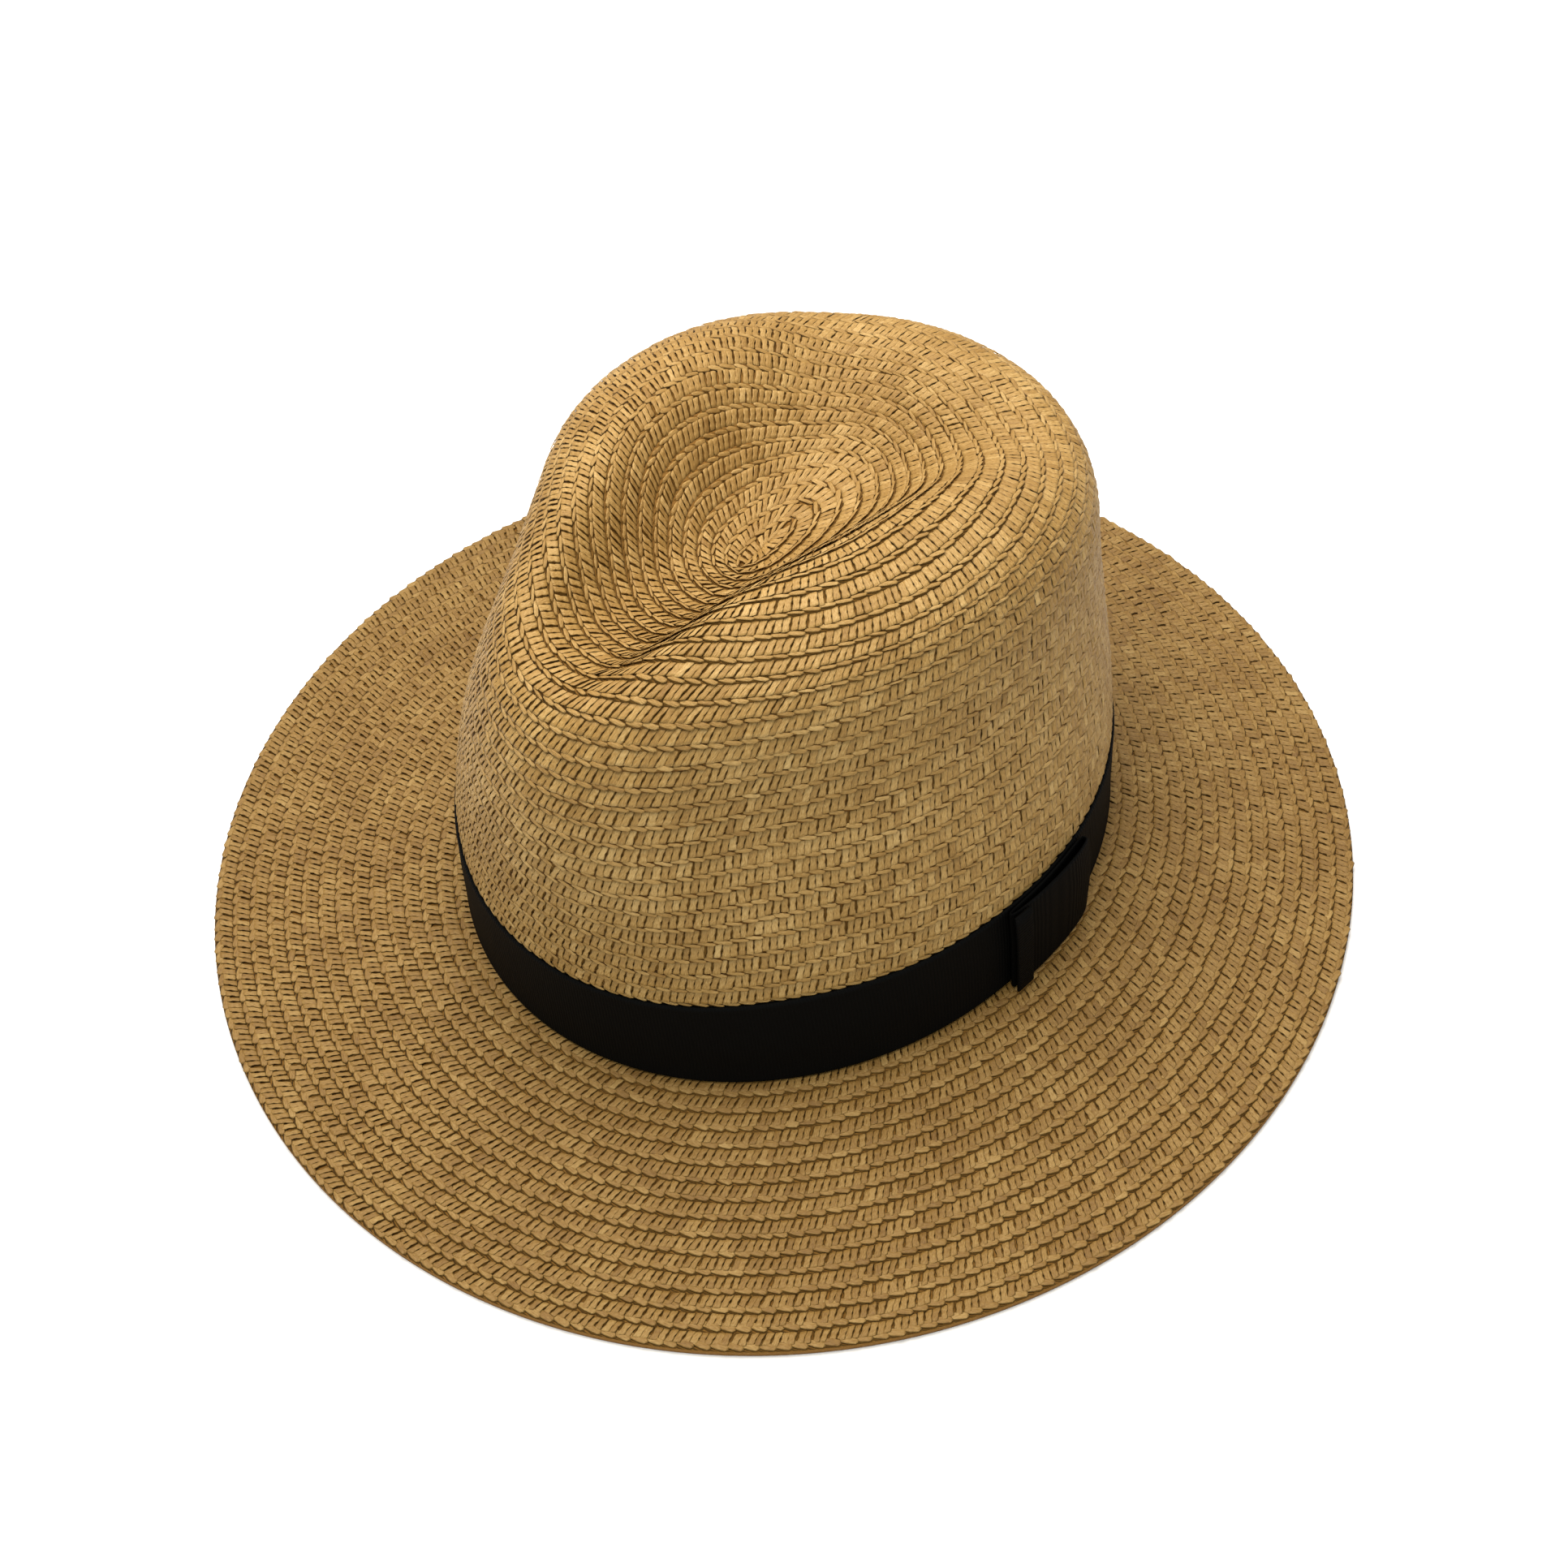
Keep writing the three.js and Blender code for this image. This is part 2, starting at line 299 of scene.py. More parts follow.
def skinned_grid(points, uv, closed):
    """Quads over a grid of rings, closed round each ring and, if asked, from the last
    ring to the first. uv has one column more than points, so a pattern meets itself."""
    rings, count = points.shape[:2]
    last = rings if closed else rings - 1
    ring, place = np.meshgrid(np.arange(last), np.arange(count), indexing="ij")
    after, beside = (ring + 1) % rings, (place + 1) % count
    faces = np.stack([ring * count + place, after * count + place,
                      after * count + beside, ring * count + beside], -1)
    corners = np.stack([uv[ring, place], uv[after, place],
                        uv[after, place + 1], uv[ring, place + 1]], -2)
    return faces.reshape(-1, 4), corners.reshape(-1, 2)


def weld(piece, distance=1e-6):
    """Joins the points that lie in one place, such as those of a closed pole."""
    shape = bmesh.new()
    shape.from_mesh(piece.data)
    bmesh.ops.remove_doubles(shape, verts=shape.verts, dist=distance)
    shape.to_mesh(piece.data)
    shape.free()


def braid_places(field, rows, share, pitch, phases):
    """Where the stitches of the given rows go: each row's length divided into whole
    units of two stitches, measured along the row at a share of its width, with a stitch
    at each phase of every unit."""
    fine = np.linspace(0, 2 * np.pi, 721)
    row_at, turn_at = [], []
    for row in rows:
        line = field(np.full_like(fine, row + share), fine)
        length = np.concatenate([[0], np.cumsum(np.linalg.norm(np.diff(line, axis=0), axis=1))])
        count = max(3, int(round(length[-1] / pitch / 2)))
        places = np.arange(count)[:, None] + np.array(phases) + ROW_SHIFT * row
        places = (places % count / count * length[-1]).ravel()
        turn_at.append(np.interp(places, length, fine))
        row_at.append(np.full(places.shape, row + share))
    return np.concatenate(row_at), np.concatenate(turn_at)


def straw_template(kind):
    """Points (u along, v across, w up) and faces of one straw: rings of four points, each
    its share of the width, drawn to a point at both ends."""
    rings = STRAW_RINGS[kind]
    points = [(-1, 0, 0)]
    points += [(u, wide * v, wide * w) for u, wide in rings for v, w in STRAW_ROUND]
    points += [(1, 0, 0)]
    last = len(points) - 1
    faces = []
    for k in range(4):
        beside = (k + 1) % 4
        faces.append((0, 1 + beside, 1 + k))
        faces.append((last, last - 4 + k, last - 4 + beside))
        for ring in range(1, last - 4, 4):
            faces.append((ring + k, ring + beside, ring + 4 + beside))
            faces.append((ring + k, ring + 4 + beside, ring + 4 + k))
    return np.array(points, float), np.array(faces)


def straws(kind, centre, half_length, half_width, up, thick, bend, rng):
    """Straws as whole arrays: centre + u half_length + v half_width + (w thick - bend
    u^2) up, with a tone for each straw."""
    template, faces = straw_template(kind)
    u, v, w = template.T
    points = (
        centre[:, None]
        + u[None, :, None] * half_length[:, None]
        + v[None, :, None] * half_width[:, None]
        + ((w * thick[:, None] - bend * u * u)[..., None]) * up[:, None]
    )
    count = len(centre)
    every = (faces[None] + (np.arange(count) * len(template))[:, None, None]).reshape(-1, 3)
    tone = rng.normal(TONE_MIDDLE, TONE_SPREAD, count).clip(0, 1)
    tone = np.repeat(tone, len(template))
    shift = rng.uniform(0, 50, (count, 1, 2))
    by_u, by_v, by_w = STRAW_UV
    uv = (np.stack([u * by_u, v * by_v + w * by_w], -1)[None] + shift).reshape(-1, 2)
    return points.reshape(-1, 3), every, uv[every].reshape(-1, 2), tone


def cross_ways(size, across, along, up, near):
    """Half vectors down and across a cross straw, and its height: across the row by its
    length, back along it by its slant, and as wide as its share of a stitch."""
    straw = CROSS_STRAWS
    long_way = across * near(straw["length"]) \
        - along * (size.stitch_pitch * near(straw["slant"])) \
        + up * size.lap * straw["rise"]
    wide_way = along * (size.stitch_pitch * near(straw["width"])) \
        + up * size.lap * near(straw["roll"])
    return long_way, wide_way, size.lap * near(straw["height"])


def edge_ways(size, straw, across, along, up, near):
    """Half vectors along and across an edge straw, and its height: along the row by its
    length in stitches, down it by its slant, and as wide as its share of the row."""
    long_way = along * (size.stitch_pitch * near(straw["length"])) \
        + across * near(straw["slant"]) \
        + up * size.lap * EDGE_RISE
    wide_way = across * near(straw["width"]) \
        - along * (size.stitch_pitch * EDGE_SKEW) \
        + up * size.lap * EDGE_ROLL
    return long_way, wide_way, size.lap * near(straw["height"])


def braid(size, part, field, rows, rng, keep=None, sink=None):
    """The stitches of some rows. Cross straws lie steeply over the upper part of a row
    and edge straws nearly along its outer edge, lapping over the next row."""
    edge = EDGE_STRAWS[part]
    kinds = (("cross", CROSS_STRAWS["share"], CROSS_STRAWS["phases"]),
             ("edge", edge["share"], EDGE_PHASES))
    made = []
    for kind, share, phases in kinds:
        row, turn = braid_places(field, rows, share, size.stitch_pitch, phases)
        if keep is not None:
            kept = keep(row, turn)
            row, turn = row[kept], turn[kept]
        count = len(row)

        def near(pair):
            """Each straw's own value: the pair's middle plus a normal draw of its spread."""
            return pair[0] + rng.normal(0, pair[1], (count, 1))

        turn = turn + rng.normal(0, TURN_SPREAD, count)
        row = row + rng.normal(0, ROW_SPREAD, count)
        point, across, along, up = field_axes(field, row, turn)
        stretch = np.linalg.norm(across, axis=-1, keepdims=True)
        least, most = (limit * size.row_width for limit in STRETCH_LIMITS)
        across = across * np.clip(stretch, least, most) / stretch
        if kind == "cross":
            long_way, wide_way, height = cross_ways(size, across, along, up, near)
        else:
            long_way, wide_way, height = edge_ways(size, edge, across, along, up, near)
        thick = size.lap * STRAW_THICK * near((1, THICK_SPREAD))[:, 0]
        if sink is not None:
            height = height * sink(point)[:, None]
        made.append(straws(kind, point + up * height, long_way, wide_way, up, thick,
                           STRAW_BEND * size.lap, rng))
    points, faces, corners, tones = zip(*made)
    shifts = np.cumsum([0] + [len(each) for each in points[:-1]])
    faces = [each + shift for each, shift in zip(faces, shifts)]
    return tuple(np.concatenate(each) for each in (points, faces, corners, tones))


def braid_pieces(size, part, field, rows, seed, bands, material, keep=None, sink=None):
    """One piece of stitches for each band of rows, each with its own seed."""
    for place, (name, (first, last)) in enumerate(bands.items()):
        rng = np.random.default_rng(seed + place)
        points, faces, corners, tone = braid(
            size, part, field, range(first, last or rows), rng, keep, sink)
        new_piece(name, points, faces, corners, material, [part],
                  {"tone": tone})


def lapped_rings(rows, low, high, reverse=False):
    """Row coordinate and height of a saw-toothed surface: each row rises from low to
    high outwards and drops again where the next one begins."""
    shares = np.array([0.002, 0.5, 0.998])
    heights = np.array([low, (low + high) / 2, high])
    row = (np.arange(rows)[:, None] + shares).ravel()
    height = np.tile(heights, rows)
    return (row[::-1], height[::-1]) if reverse else (row, height)


def ring_uv(field, row, count, pitch):
    """UV over the rings: across counts rows, along counts stitches, whole in each row."""
    turns = np.linspace(0, 2 * np.pi, count + 1)
    middle = np.floor(row) + 0.5
    line = field(np.repeat(middle[:, None], count + 1, 1), np.tile(turns, (len(row), 1)))
    length = np.cumsum(np.linalg.norm(np.diff(line, axis=1), axis=-1), axis=1)
    length = np.concatenate([np.zeros((len(row), 1)), length], axis=1)
    stitches = np.maximum(6, np.round(length[:, -1:] / pitch))
    along = length / length[:, -1:] * stitches
    return np.stack([np.repeat(row[:, None], count + 1, 1), along], -1)


def lapped_shell(size, field, rows, count, first=0.0, closed=True, tip=False):
    """Closed wall of lapped rows: the outer rings down, then the inner rings back up, a
    wall's thickness behind them."""
    turns = np.linspace(0, 2 * np.pi, count, endpoint=False)
    rings, uvs, side = [], [], []
    for inside in (False, True):
        if inside:
            low, high = (size.straw_wall * share for share in ROW_INSIDE)
        else:
            low, high = (size.lap * share for share in ROW_OUTSIDE)
        row, height = lapped_rings(rows, low, high, inside)
        if tip and inside:
            row, height = np.append(row, 0.0), np.append(height, height[-1])
        elif tip:
            row, height = np.append(0.0, row), np.append(height[0], height)
        else:
            row = np.where(row < 0.01, first, row)
        grid_row, grid_turn = np.meshgrid(row, turns, indexing="ij")
        point, _, _, normal = field_axes(field, grid_row, grid_turn)
        if tip:
            pole = row == 0
            point[pole] = field(grid_row[pole], grid_turn[pole])
            normal[pole] = (0, 0, 1)
        rings.append(point + normal * height[:, None, None])
        uvs.append(ring_uv(field, row, count, size.stitch_pitch))
        side.append(np.full(grid_row.shape, float(inside)))
    points, uv = np.concatenate(rings), np.concatenate(uvs)
    faces, corners = skinned_grid(points, uv, closed)
    return points, faces, corners, np.concatenate(side)


# Materials

def shader(name, roughness, specular):
    """A new node material with its roughness and specular level set."""
    material = bpy.data.materials.new(name)
    material.use_nodes = True
    nodes = material.node_tree.nodes
    surface = nodes["Principled BSDF"]
    surface.inputs["Roughness"].default_value = roughness
    surface.inputs["Specular IOR Level"].default_value = specular
    return material, nodes, material.node_tree.links, surface


def linked(nodes, links, kind, sockets=None, **settings):
    """A new node with its settings, and its inputs set or linked by name or number."""
    node = nodes.new(kind)
    for key, value in settings.items():
        setattr(node, key, value)
    for key, value in (sockets or {}).items():
        if isinstance(value, bpy.types.NodeSocket):
            links.new(value, node.inputs[key])
        else:
            node.inputs[key].default_value = value
    return node


def sum_of(nodes, links, operation, first, second=0.0, third=0.0):
    """The outcome of one step of arithmetic on sockets or numbers."""
    sockets = {0: first, 1: second, 2: third}
    return linked(nodes, links, "ShaderNodeMath", sockets, operation=operation).outputs[0]


def mixed(nodes, links, share, first, second):
    """Colour between two colours by a share."""
    node = linked(nodes, links, "ShaderNodeMix", {0: share, 6: first, 7: second},
                  data_type="RGBA")
    return node.outputs[2]


def arch(nodes, links, value):
    """One round arch over each whole step of a value: sin(pi times its fraction)."""
    part = sum_of(nodes, links, "FRACT", value)
    return sum_of(nodes, links, "SINE", sum_of(nodes, links, "MULTIPLY", part, math.pi))


def object_noise(nodes, links, scale, detail):
    """Noise over the object's own coordinates."""
    place = linked(nodes, links, "ShaderNodeTexCoord").outputs["Object"]
    return linked(nodes, links, "ShaderNodeTexNoise",
                  {"Vector": place, "Scale": scale, "Detail": detail}).outputs["Fac"]


def add_bump(nodes, links, surface, height, strength, distance):
    """Bumps the surface by a height."""
    bump = linked(nodes, links, "ShaderNodeBump",
                  {"Height": height, "Strength": strength, "Distance": distance})
    links.new(bump.outputs[0], surface.inputs["Normal"])


def colour_ramp(nodes, links, share, stops):
    """Colour by a share: three stops, each a position and a full colour."""
    node = linked(nodes, links, "ShaderNodeValToRGB", {0: share})
    ends = node.color_ramp.elements
    (ends[0].position, ends[0].color), middle, (ends[1].position, ends[1].color) = stops
    ends.new(middle[0]).color = middle[1]
    return node.outputs[0]


def rgba(colour):
    """A colour with full cover."""
    return (*colour, 1.0)


def shaded(colour, shade):
    """A colour times a shade, channel by channel, as a full colour."""
    return tuple(part * by for part, by in zip(colour, shade)) + (1.0,)


# How much fibres and patches change a straw's tone
FIBRE_TONE = 1.1
PATCH_TONE = 0.5


def straw_material(name, colours, shade=(1, 1, 1)):
    """Paper straw: each straw its own tone, with fine lengthwise fibres and soft patches,
    all times a shade. For the brim that shade is mostly painted shade, darker as if the brim
    were lit less than the crown, and only a little the brim's own darker straw."""
    material, nodes, links, surface = shader(name, 0.58, 0.35)
    tone = linked(nodes, links, "ShaderNodeAttribute", attribute_name="tone").outputs["Fac"]
    uv = linked(nodes, links, "ShaderNodeUVMap", uv_map="UVMap").outputs[0]
    stretched = linked(nodes, links, "ShaderNodeMapping",
                       {"Vector": uv, "Scale": (0.6, 3.0, 1.0)}).outputs[0]
    fibre = linked(nodes, links, "ShaderNodeTexNoise",
                   {"Vector": stretched, "Scale": 2.2, "Detail": 4.0}).outputs["Fac"]
    patch = object_noise(nodes, links, 42.0, 3.0)
    light = sum_of(nodes, links, "MULTIPLY_ADD", fibre, FIBRE_TONE, -FIBRE_TONE / 2)
    light = sum_of(nodes, links, "ADD", tone, light)
    light = sum_of(nodes, links, "MULTIPLY_ADD", patch, PATCH_TONE, light)
    light = sum_of(nodes, links, "SUBTRACT", light, PATCH_TONE / 2)
    # each stop times the shade: for the brim mostly painted shade, as if it were lit less than
    # the crown
    colour = colour_ramp(nodes, links, light, (
        (0.1, shaded(colours.straw_dark, shade)), (0.5, shaded(colours.straw_middle, shade)),
        (0.9, shaded(colours.straw_light, shade))))
    links.new(colour, surface.inputs["Base Color"])
    add_bump(nodes, links, surface, fibre, 0.8, 0.0003)
    return material


# The plait on the inside: stitches by which its straws shift over a row, above and below
# the share of the row at which they turn
PLAIT_STEEP = 0.45
PLAIT_SHALLOW = -4.2
PLAIT_TURNS_AT = 0.6


def backing_material(name, colours):
    """The lapped rows behind the stitches: on the outside deep brown, a painted shade that
    the gaps between the stitches show, and on the inside a plait of slanted straws drawn over
    rows and stitches, painted darker with the same shade in its low places and at the row edges."""
    material, nodes, links, surface = shader(name, 0.8, 0.2)
    side = linked(nodes, links, "ShaderNodeAttribute", attribute_name="inside").outputs["Fac"]
    uv = linked(nodes, links, "ShaderNodeUVMap", uv_map="UVMap").outputs[0]
    split = linked(nodes, links, "ShaderNodeSeparateXYZ", {0: uv})
    share = sum_of(nodes, links, "FRACT", split.outputs[0])
    steep = arch(nodes, links, sum_of(
        nodes, links, "MULTIPLY_ADD", share, PLAIT_STEEP, split.outputs[1]))
    shallow = arch(nodes, links, sum_of(
        nodes, links, "MULTIPLY_ADD", share, PLAIT_SHALLOW, split.outputs[1]))
    lower = sum_of(nodes, links, "GREATER_THAN", share, PLAIT_TURNS_AT)
    plait = linked(nodes, links, "ShaderNodeMix", {0: lower, 2: steep, 3: shallow}).outputs[0]
    rounded = sum_of(nodes, links, "POWER", arch(nodes, links, split.outputs[0]), 0.4)
    relief = sum_of(nodes, links, "MULTIPLY", plait, rounded)
    grain = object_noise(nodes, links, 900.0, 3.0)
    light = sum_of(nodes, links, "MULTIPLY_ADD", grain, 0.5, relief)
    # Painted shade: the plait's low places and the row edges go to the gap's deep brown
    plaited = colour_ramp(nodes, links, light, (
        (0.35, rgba(colours.gap)), (0.7, rgba(colours.straw_middle)),
        (1.25 / 1.3, rgba(colours.straw_light))))
    # Painted shade: the outside, seen only through the gaps, is deep brown mottled towards dark
    # straw
    outside_painted_shade = mixed(nodes, links, grain, rgba(colours.gap), rgba(colours.straw_dark))
    links.new(mixed(nodes, links, side, outside_painted_shade, plaited), surface.inputs["Base Color"])
    add_bump(nodes, links, surface, relief, 0.9, 0.0008)
    return material


# Ribs of the ribbon: the wave's scale over a UV map in millimetres
RIBS = 0.32


def ribbon_material(name, colour):
    """Black ribbon: fine upright ribs over its length, painted lighter on their crests and
    darker in their grooves as painted light and shade, and soft uneven patches.
    """
    material, nodes, links, surface = shader(name, 0.7, 0.06)
    uv = linked(nodes, links, "ShaderNodeUVMap", uv_map="UVMap").outputs[0]
    wave = linked(nodes, links, "ShaderNodeTexWave",
                  {"Vector": uv, "Scale": RIBS, "Distortion": 0.6, "Detail": 1.0},
                  bands_direction="X").outputs["Fac"]
    patch = object_noise(nodes, links, 160.0, 4.0)
    # Painted light and shade: the ribs' colour follows their bump, lighter on the crests and
    # darker in the grooves; the patches are uneven tone
    dark = tuple(0.55 * part for part in colour)
    light = tuple(1.5 * part for part in colour)
    share = sum_of(nodes, links, "MULTIPLY_ADD", patch, 0.5,
                   sum_of(nodes, links, "MULTIPLY", wave, 0.5))
    links.new(mixed(nodes, links, share, rgba(dark), rgba(light)), surface.inputs["Base Color"])
    add_bump(nodes, links, surface, wave, 0.5, 0.00025)
    return material


# Properties

def length(name, description, default):
    """A length property."""
    return FloatProperty(name=name, description=description, default=default,
                         unit="LENGTH", precision=5)


def tint(name, description, default):
    """A colour property."""
    return FloatVectorProperty(name=name, description=description, default=default,
                               subtype="COLOR", size=3, min=0, max=1)


class HatSizes(bpy.types.PropertyGroup):
    """Sizes of the hat."""
    straw_wall: length("Straw wall", "Thickness of the straw wall", 2 * MM)
    piece_gap: length("Gap", "Gap between touching pieces", 0.3 * MM)
    crown_half_length: length("Crown half length", "Crown oval, middle to front", 100.4 * MM)
    crown_half_width: length("Crown half width", "Crown oval, middle to side", 88 * MM)
    crown_height: length("Crown height", "Height of the crown over the brim", 127.4 * MM)
    brim_half_length: length("Brim half length", "Brim oval, middle to front", 167.2 * MM)
    brim_half_width: length("Brim half width", "Brim oval, middle to side", 163.5 * MM)
    brim_rise: length("Brim rise", "How far the brim falls outwards", 5 * MM)
    crown_setback: length("Crown setback", "Crown's middle behind the brim's", 5 * MM)
    lean: length("Lean", "How far the top leans to the wearer's left", -4.1 * MM)
    ribbon_height: length("Ribbon height", "Height of the ribbon", 30 * MM)
    ribbon_thickness: length("Ribbon thickness", "Thickness of the ribbon", 0.8 * MM)
    bow_length: length("Bow length", "Length of the bow's loop", 36 * MM)
    bow_depth: length("Bow depth", "How far the bow stands out", 3.6 * MM)
    keeper_width: length("Keeper width", "Width of the bow's strap", 6 * MM)
    crown_row_width: length("Crown row width", "Width of one row of the crown", 4.934 * MM)
    row_width: length("Brim row width", "Width of one row of the brim", 4.66 * MM)
    stitch_pitch: length("Stitch pitch", "Distance from stitch to stitch", 1.97 * MM)
    lap: length("Lap", "Height of a row over the next", 1.0 * MM)


class HatColours(bpy.types.PropertyGroup):
    """Colours of the hat."""
    straw_light: tint("Light straw", "Brightest straws", (0.475, 0.308, 0.112))
    straw_middle: tint("Middle straw", "Most of the straws", (0.315, 0.179, 0.045))
    straw_dark: tint("Dark straw", "Darkest straws", (0.2, 0.1, 0.017))
    # Painted shade for the most part: the brim's straws darkened as if the brim were lit less
    # than the crown; only a little of it is the brim's own darker straw
    brim_painted_shade: tint("Brim shade", "The brim's straws against the crown's", (0.71, 0.68, 0.57))
    # Painted shade: the deep brown that stands in for the shade in the gaps between the straws
    gap: tint("Gap", "Deep brown between the straws", (0.18, 0.078, 0.011))
    ribbon: tint("Ribbon", "Black of the ribbon", (0.0009, 0.0009, 0.0008))
    bow: tint("Bow", "Black of the bow", (0.0005, 0.0005, 0.0004))


def plain_sizes(context):
    """The sizes as plain numbers, with those that follow from them."""
    group = context.scene.hat_sizes
    size = SimpleNamespace(**{key: getattr(group, key) for key in HatSizes.__annotations__})
    size.break_height = size.straw_wall + size.brim_rise + size.piece_gap
    return size


def share_at_height(size, height):
    """Share of the way down the crown at which its surface is at a height."""
    at = np.linspace(0.5, 1, 2001)
    rise = table_curve(CROWN_SECTIONS, at)[:, 3] * size.crown_height
    return np.interp(-np.asarray(height), -rise, at)


def crown_offset(size, at, turn, distance):
    """A point of the crown's surface moved outwards by a distance."""
    step = 1e-3
    down = crown_surface(size, np.minimum(at + step, 1), turn) \
        - crown_surface(size, at - step, turn)
    around = crown_surface(size, at, turn + step) - crown_surface(size, at, turn - step)
    out = np.cross(down, around)
    out = out / np.linalg.norm(out, axis=-1, keepdims=True)
    return crown_surface(size, at, turn) + out * np.asarray(distance)[..., None]


class HAT_OT_crown(bpy.types.Operator):
    """Make the crown: its lapped wall and its stitches, both on the surface of an oval
    at each height with the dents pushed in."""
    bl_idname = "hat.crown"
    bl_label = "Crown"

    def execute(self, context):
        size = plain_sizes(context)
        colours = context.scene.hat_colours
        field, rows = crown_field(size)
        points, faces, corners, side = lapped_shell(
            size, field, rows, CROWN_TURNS, closed=False, tip=True)
        wall = new_piece("crown_wall", points, faces, corners,
                         backing_material("straw_backing_crown", colours),
                         ["crown"], {"inside": side})
        weld(wall)
        straw = straw_material("straw_crown", colours)
        below = share_at_height(size, size.ribbon_height)
        edge = crown_surface(size, np.array(below), np.array(0.0))[2]

        def keep(row, turn):
            """Leaves out the stitches that lie more than 1 mm under the ribbon's edge."""
            return field(row, turn)[:, 2] > edge - 1 * MM

        def sink(point):
            """Share of a stitch's height: it goes to none at the ribbon's edge."""
            return np.clip((point[:, 2] - edge + 1.5 * MM) / (4.5 * MM), 0, 1)

        braid_pieces(size, "crown", field, rows, CROWN_SEED, CROWN_BANDS, straw, keep, sink)
        return {"FINISHED"}


class HAT_OT_brim(bpy.types.Operator):
    """Make the brim: its lapped wall and its stitches, both on the surface that goes from
    the crown's oval to the brim's oval."""
    bl_idname = "hat.brim"
    bl_label = "Brim"

    def execute(self, context):
        size = plain_sizes(context)
        colours = context.scene.hat_colours
        field, rows = brim_field(size)
        # the first row reaches in under the crown's foot
        points, faces, corners, side = lapped_shell(size, field, rows, BRIM_TURNS, first=-0.4)
        points[..., 2] = np.maximum(points[..., 2], 0)
        new_piece("brim_wall", points, faces, corners,
                  backing_material("straw_backing_brim", colours),
                  ["brim"], {"inside": side})
        # the brim's straws take the painted shade, darker as if lit less than the crown
        straw = straw_material("straw_brim", colours, colours.brim_painted_shade)
        braid_pieces(size, "brim", field, rows, BRIM_SEED, BRIM_BANDS, straw)
        return {"FINISHED"}


class HAT_OT_ribbon(bpy.types.Operator):
    """Make the ribbon round the foot of the crown: the crown's surface moved outwards by
    a closed profile with a bead along both edges."""
    bl_idname = "hat.ribbon"
    bl_label = "Ribbon"

    def execute(self, context):
        size = plain_sizes(context)
        colours = context.scene.hat_colours
        turns = np.linspace(0, 2 * np.pi, RIBBON_TURNS, endpoint=False)
        # profile: height share and stand-off, up the outside and down the inside
        share = np.array([0.0, 0.004, 0.02, 0.045, 0.06, 0.3, 0.6, 0.94, 0.955, 0.98, 0.996, 1.0])
        bead = np.array([0.0, 0.75, 1.12, 1.12, 1.0, 1.03, 1.03, 1.0, 1.12, 1.12, 0.75, 0.0])
        heights = np.concatenate([share[::-1], [0.2, 0.8]])
        stand = np.concatenate([bead[::-1], [0.0, 0.0]]) * size.ribbon_thickness
        at = share_at_height(size, heights * size.ribbon_height)
        grid_at, grid_turn = np.meshgrid(np.minimum(at, FOOT_SHARE), turns, indexing="ij")
        points = crown_offset(size, grid_at, grid_turn,
                              np.repeat((stand + size.piece_gap)[:, None], len(turns), 1))
        around = np.linspace(0, 600, len(turns) + 1)
        uv = np.stack(np.broadcast_arrays(around[None, :], heights[:, None] * 30), -1)
        faces, corners = skinned_grid(points, uv, True)
        ribbon = new_piece("ribbon", points, faces, corners,
                           ribbon_material("ribbon_black", colours.ribbon),
                           ["ribbon_band"])
        return {"FINISHED"}


def squared(value):
    """A sine or cosine raised to a power below 1, which squares up an ellipse."""
    return np.sign(value) * np.abs(value) ** BOW_SQUARENESS


def over_ribbon(size, way, share, stand_off):
    """A point over the ribbon: way along it from the bow's middle, at a height share,
    standing off the ribbon's face."""
    at = share_at_height(size, share * size.ribbon_height)
    turn = math.radians(BOW_MIDDLE) + way / size.crown_half_length
    base = size.piece_gap * 2 + size.ribbon_thickness
    return crown_offset(size, np.minimum(at, FOOT_SHARE), turn, stand_off + base)


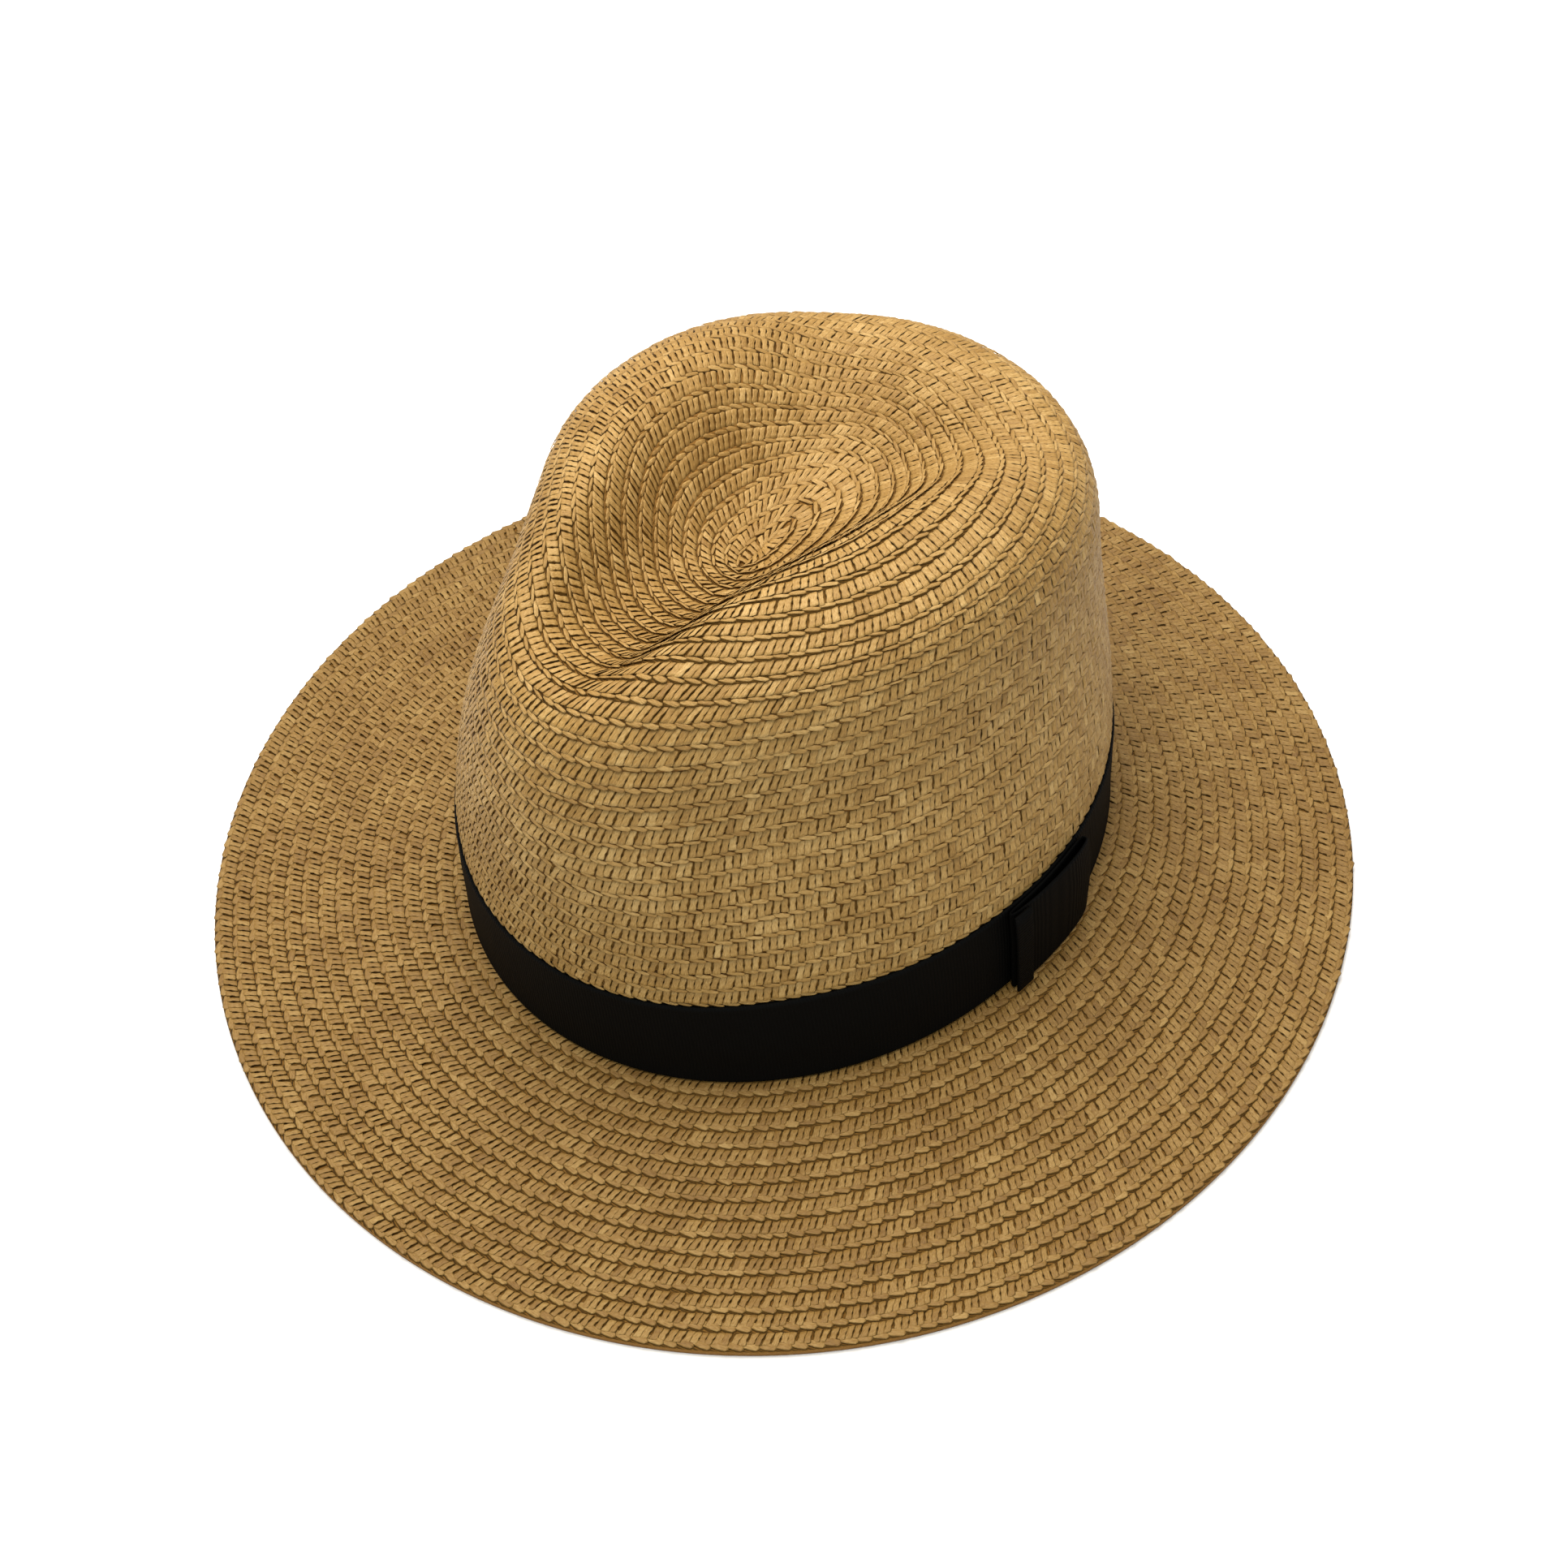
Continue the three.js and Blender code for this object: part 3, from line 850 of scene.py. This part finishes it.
class HAT_OT_bow(bpy.types.Operator):
    """Make the flat bow: a pressed ribbon loop, in plan a squared ellipse that is shallower
    at the front, and the strap that holds it, a thin plate with rounded sides."""
    bl_idname = "hat.bow"
    bl_label = "Bow"

    def execute(self, context):
        size = plain_sizes(context)
        colours = context.scene.hat_colours
        black = ribbon_material("bow_black", colours.bow)
        turns = np.linspace(0, 2 * np.pi, BOW_TURNS, endpoint=False)
        # loop: height shares up its outside and inside, and how far it is set in there
        edge = np.array([0.0, 0.004, 0.02, 0.06, 0.35, 0.65, 0.94, 0.98, 0.996, 1.0])
        inset = np.array([0.5, 0.15, 0.0, 0.0, 0.0, 0.0, 0.0, 0.0, 0.15, 0.5])
        shares = np.concatenate([edge[::-1], edge])
        insets = np.concatenate([1 - inset, inset]) * size.ribbon_thickness
        share, turn = np.meshgrid(shares, turns, indexing="ij")
        inward = np.repeat(insets[:, None], len(turns), 1)
        bulge = 1 - BOW_END_BULGE * (2 * share - 1) ** 2
        sideways = squared(np.cos(turn))
        way = (size.bow_length / 2 - inward) * sideways * np.where(sideways > 0, bulge, 1)
        rise = BOW_FRONT_DEPTH_SHARE + (1 - BOW_FRONT_DEPTH_SHARE) * (sideways + 1) / 2
        middle = size.bow_depth * rise / 2
        points = over_ribbon(size, way, share, middle + (middle - inward) * squared(np.sin(turn)))
        around = np.linspace(0, 78, len(turns) + 1)
        uv = np.stack(np.broadcast_arrays(around[None, :], shares[:, None] * 30), -1)
        faces, corners = skinned_grid(points, uv, True)
        loop = new_piece("bow_ribbon", points, faces, corners, black, ["bow_loop"])

        # strap: ways across it, height shares up its face and down its back
        ways = np.array([0.0, 0.004, 0.03, 0.2, 0.5, 0.8, 0.97, 0.996, 1.0])
        half = np.array([0.0, 0.35, 0.5, 0.5, 0.5, 0.5, 0.5, 0.35, 0.0])
        up = np.linspace(0, 1, 9)
        face = np.concatenate([up[::-1], up])
        sign = np.concatenate([np.ones(9), -np.ones(9)])
        start = -size.bow_length / 2 - size.piece_gap
        depth = size.bow_depth * BOW_FRONT_DEPTH_SHARE + size.piece_gap * 2
        way, share = np.meshgrid(start + ways[::-1] * size.keeper_width, face, indexing="ij")
        stand = depth + size.ribbon_thickness * (0.5 + half[::-1][:, None] * sign[None, :])
        points = over_ribbon(size, way, share, stand)
        uv = np.stack(np.broadcast_arrays(
            np.append(face, face[0])[None, :] * 30, ways[::-1][:, None] * 6), -1)
        faces, corners = skinned_grid(points, uv, False)
        keeper = new_piece("bow_strap", points, faces, corners, black,
                           ["bow_keeper"])
        weld(keeper)
        return {"FINISHED"}


def soft_light(name, place, aim, width, power, colour):
    """A square area light that faces its aim."""
    light = bpy.data.lights.new(name, "AREA")
    light.shape = "SQUARE"
    light.size = width
    light.energy = power
    light.color = colour
    lamp = bpy.data.objects.new(name, light)
    lamp.location = place
    ahead = Vector(aim) - Vector(place)
    lamp.rotation_euler = ahead.to_track_quat("-Z", "Y").to_euler()
    bpy.context.scene.collection.objects.link(lamp)


def photo_camera():
    """The camera of the photograph: a pinhole, rolled about the way it looks."""
    ahead = Vector(CAMERA_AHEAD).normalized()
    right = ahead.cross(Vector((0, 0, 1))).normalized()
    up = right.cross(ahead)
    roll = math.radians(CAMERA_ROLL)
    rolled_right = right * math.cos(roll) + up * math.sin(roll)
    rolled_up = up * math.cos(roll) - right * math.sin(roll)
    turned = Matrix((rolled_right, rolled_up, -ahead)).transposed().to_4x4()
    lens = bpy.data.cameras.new("camera")
    lens.lens = CAMERA_LENS
    lens.sensor_width = 36
    lens.clip_start = 0.02
    lens.clip_end = 50
    camera = bpy.data.objects.new("camera", lens)
    camera.matrix_world = Matrix.Translation(CAMERA_PLACE) @ turned
    return camera


class HAT_OT_stage(bpy.types.Operator):
    """Set the pale floor, the soft lights and the camera."""
    bl_idname = "hat.stage"
    bl_label = "Stage"

    def execute(self, context):
        scene = context.scene
        scene.view_settings.view_transform = "Standard"
        mesh = bpy.data.meshes.new("floor")
        corners = [(x * FLOOR_HALF, y * FLOOR_HALF, 0)
                   for x, y in ((-1, -1), (1, -1), (1, 1), (-1, 1))]
        mesh.from_pydata(corners, [], [(0, 1, 2, 3)])
        material, _, _, surface = shader("pale_floor", 0.9, 0.1)
        surface.inputs["Base Color"].default_value = rgba(FLOOR_COLOUR)
        mesh.materials.append(material)
        floor = bpy.data.objects.new("floor", mesh)
        scene.collection.objects.link(floor)

        world = bpy.data.worlds.new("studio")
        world.use_nodes = True
        background = world.node_tree.nodes["Background"]
        background.inputs["Color"].default_value = (1, 1, 1, 1)
        background.inputs["Strength"].default_value = WORLD_STRENGTH
        scene.world = world
        for light in LIGHTS:
            soft_light(*light)
        camera = photo_camera()
        scene.collection.objects.link(camera)
        scene.camera = camera
        return {"FINISHED"}


class HAT_PT_panel(bpy.types.Panel):
    """Lists the hat's sizes, colours and pieces."""
    bl_idname = "HAT_PT_panel"
    bl_label = "Straw hat"
    bl_space_type = "VIEW_3D"
    bl_region_type = "UI"
    bl_category = "Straw hat"

    def draw(self, context):
        for group in (context.scene.hat_sizes, context.scene.hat_colours):
            box = self.layout.box()
            for key in type(group).__annotations__:
                box.prop(group, key)
        for operator in OPERATORS:
            self.layout.operator(operator.bl_idname)


OPERATORS = (HAT_OT_stage, HAT_OT_crown, HAT_OT_brim, HAT_OT_ribbon, HAT_OT_bow)
CLASSES = (HatSizes, HatColours, *OPERATORS, HAT_PT_panel)


def register():
    """Registers the classes and hangs the sizes and colours on the scene."""
    for each in CLASSES:
        bpy.utils.register_class(each)
    bpy.types.Scene.hat_sizes = PointerProperty(type=HatSizes)
    bpy.types.Scene.hat_colours = PointerProperty(type=HatColours)


def unregister():
    """Takes them off again."""
    del bpy.types.Scene.hat_colours
    del bpy.types.Scene.hat_sizes
    for each in reversed(CLASSES):
        bpy.utils.unregister_class(each)


def main():
    """Builds the stage and every piece."""
    register()
    bpy.ops.hat.stage()
    bpy.ops.hat.crown()
    bpy.ops.hat.brim()
    bpy.ops.hat.ribbon()
    bpy.ops.hat.bow()


if __name__ == "__main__":
    main()
